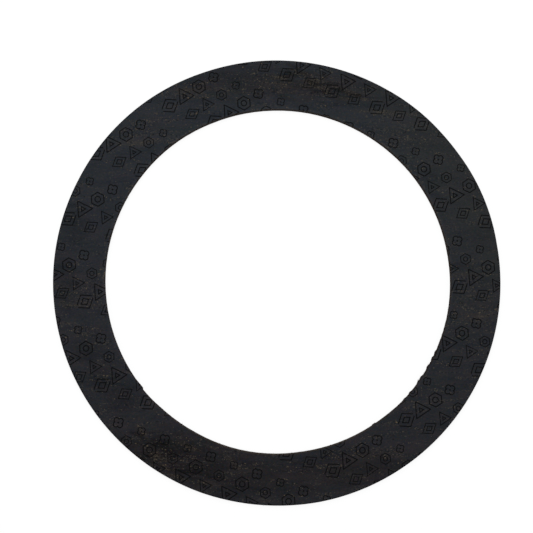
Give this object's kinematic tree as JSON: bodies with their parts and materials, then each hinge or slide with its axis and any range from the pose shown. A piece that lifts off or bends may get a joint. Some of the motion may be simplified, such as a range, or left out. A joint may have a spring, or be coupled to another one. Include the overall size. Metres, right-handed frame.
{
  "type": "flat ring gasket",
  "caption": "Flat ring gasket cut from compressed fibre sheet, to seal a raised-face pipe flange joint inside its bolt circle.",
  "frame": {"origin": "centre of the bore at the lower face, on which the gasket lies", "axes": "+Z along the bore axis, out of the printed upper face; +Y towards the top of the picture"},
  "size_m": [0.218, 0.218, 0.002],
  "materials": {
    "fibre_sheet": "matte compressed fibre with a rubber binder"
  },
  "bodies": {
    "root": {"gasket_ring": "fibre_sheet"}
  },
  "joints": []
}
